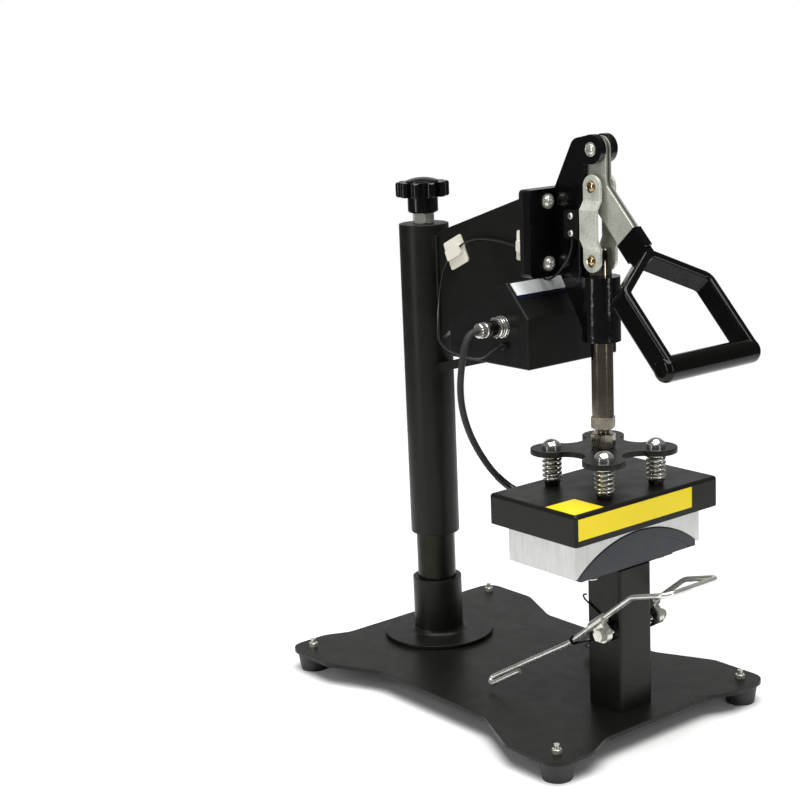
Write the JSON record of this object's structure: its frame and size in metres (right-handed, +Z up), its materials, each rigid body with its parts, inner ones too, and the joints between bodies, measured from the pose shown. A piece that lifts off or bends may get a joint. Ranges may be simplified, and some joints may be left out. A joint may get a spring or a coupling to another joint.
{
  "type": "cap heat press",
  "caption": "Bench cap heat press: a toggle lever and plunger push a sprung, curved heated block down onto a curved cap form on a post.",
  "frame": {"origin": "on the floor, under the middle of the overall length and width", "axes": "+Z up, the operator stands at -Y, the column at +Y, +X to the operator's right"},
  "size_m": [0.27, 0.4406, 0.5263],
  "materials": {
    "powder_black": "matt black powder coat",
    "gloss_black": "gloss black enamel on a casting",
    "bare_steel": "bright drawn steel",
    "dark_steel": "oiled dark steel",
    "zinc": "bright zinc plate",
    "nickel": "bright nickel plate",
    "aluminium": "milled aluminium",
    "rubber": "moulded rubber",
    "silicone": "dark silicone sheet",
    "vinyl": "dipped vinyl",
    "abs_black": "textured black plastic",
    "display": "pale display film with a dark blue border",
    "board_green": "circuit board",
    "clip_white": "white nylon",
    "board_white": "ceramic fibre board",
    "sheath": "braided sleeve over the heater leads",
    "lead_pvc": "thin black hook-up lead",
    "spring_black": "blackened spring wire"
  },
  "bodies": {
    "frame": {"base_plate": "powder_black", "rubber_feet": "rubber", "foot_screws": "zinc", "column_socket": "powder_black", "socket_screws": "zinc", "inner_post": "dark_steel", "post_nut": "dark_steel", "press_post": "powder_black", "form_plate": "powder_black", "cap_form": "silicone", "form_pad": "silicone", "form_screws": "zinc", "bail_bolt": "zinc", "bail_springs": "spring_black"},
    "bail": {"tension_bail": "bare_steel", "bail_hubs": "zinc", "spring_hooks": "spring_black"},
    "arm": {"height_tube": "powder_black", "tube_cap": "powder_black", "arm_gusset": "powder_black", "clamp_body": "gloss_black", "clamp_screws": "zinc", "clamp_washers": "zinc", "lever_pin": "zinc", "micro_switch": "abs_black", "small_screws": "zinc", "box_front": "abs_black", "box_rear": "abs_black", "display_panel": "display", "control_board": "board_green", "box_bracket": "powder_black", "heater_socket": "nickel", "heater_plug": "nickel", "heater_cable": "sheath", "switch_lead": "lead_pvc", "lead_clips": "clip_white", "lead_grommet": "rubber", "mains_inlet": "abs_black", "switch_frame": "abs_black"},
    "knob": {"star_knob": "abs_black", "adjust_screw": "zinc"},
    "lever": {"lever": "zinc", "handle_grip": "vinyl", "link_pin": "zinc"},
    "link_pair": {"links": "zinc", "link_rivets": "zinc"},
    "ram": {"plunger": "bare_steel", "plunger_pin": "zinc", "head_stud": "zinc", "spider": "powder_black", "head_springs": "bare_steel"},
    "head": {"heater_cover": "powder_black", "heating_block": "aluminium", "heating_elements": "bare_steel", "insulation_board": "board_white", "temperature_probe": "bare_steel", "guide_bolts": "bare_steel", "guide_nuts": "zinc", "cable_gland": "abs_black"},
    "rocker": {"power_rocker": "abs_black"}
  },
  "joints": [
    {"name": "arm_height", "type": "slide", "parent": "frame", "child": "arm", "axis": [0, 0, 1], "range_m": [0, 0.021]},
    {"name": "knob_turn", "type": "hinge", "parent": "arm", "child": "knob", "pos_m": [0, 0.1463, 0.45], "axis": [0, 0, 1], "range_deg": [0, 4320]},
    {"name": "lever_open", "type": "hinge", "parent": "arm", "child": "lever", "pos_m": [0, -0.0902, 0.5138], "axis": [-1, 0, 0], "range_deg": [0, 95]},
    {"name": "link_swing", "type": "hinge", "parent": "lever", "child": "link_pair", "pos_m": [0, -0.0902, 0.4825], "axis": [1, 0, 0], "range_deg": [0, 124.72]},
    {"name": "plunger_slide", "type": "slide", "parent": "arm", "child": "ram", "axis": [0, 0, 1], "range_m": [0, 0.0422]},
    {"name": "head_float", "type": "slide", "parent": "ram", "child": "head", "axis": [0, 0, 1], "range_m": [0, 0.005], "stiffness_N_per_m": 8000, "springref_m": -0.005, "deforming": ["head_springs"]},
    {"name": "bail_hinge", "type": "hinge", "parent": "frame", "child": "bail", "pos_m": [0, -0.1197, 0.098], "axis": [1, 0, 0], "range_deg": [0, 40], "stiffness_Nm_per_rad": 0.5, "springref_deg": -17.19},
    {"name": "power_switch", "type": "hinge", "parent": "arm", "child": "rocker", "pos_m": [0.0595, -0.0077, 0.346], "axis": [0, 0, 1], "range_deg": [0, 20]}
  ],
  "couplings": [
    {"joint": "knob_turn", "follows": "arm_height", "rad_per_m": 3590.4},
    {"joint": "link_swing", "follows": "lever_open", "ratio": 1.3123},
    {"joint": "plunger_slide", "follows": "lever_open", "m_per_rad": 0.02545}
  ]
}
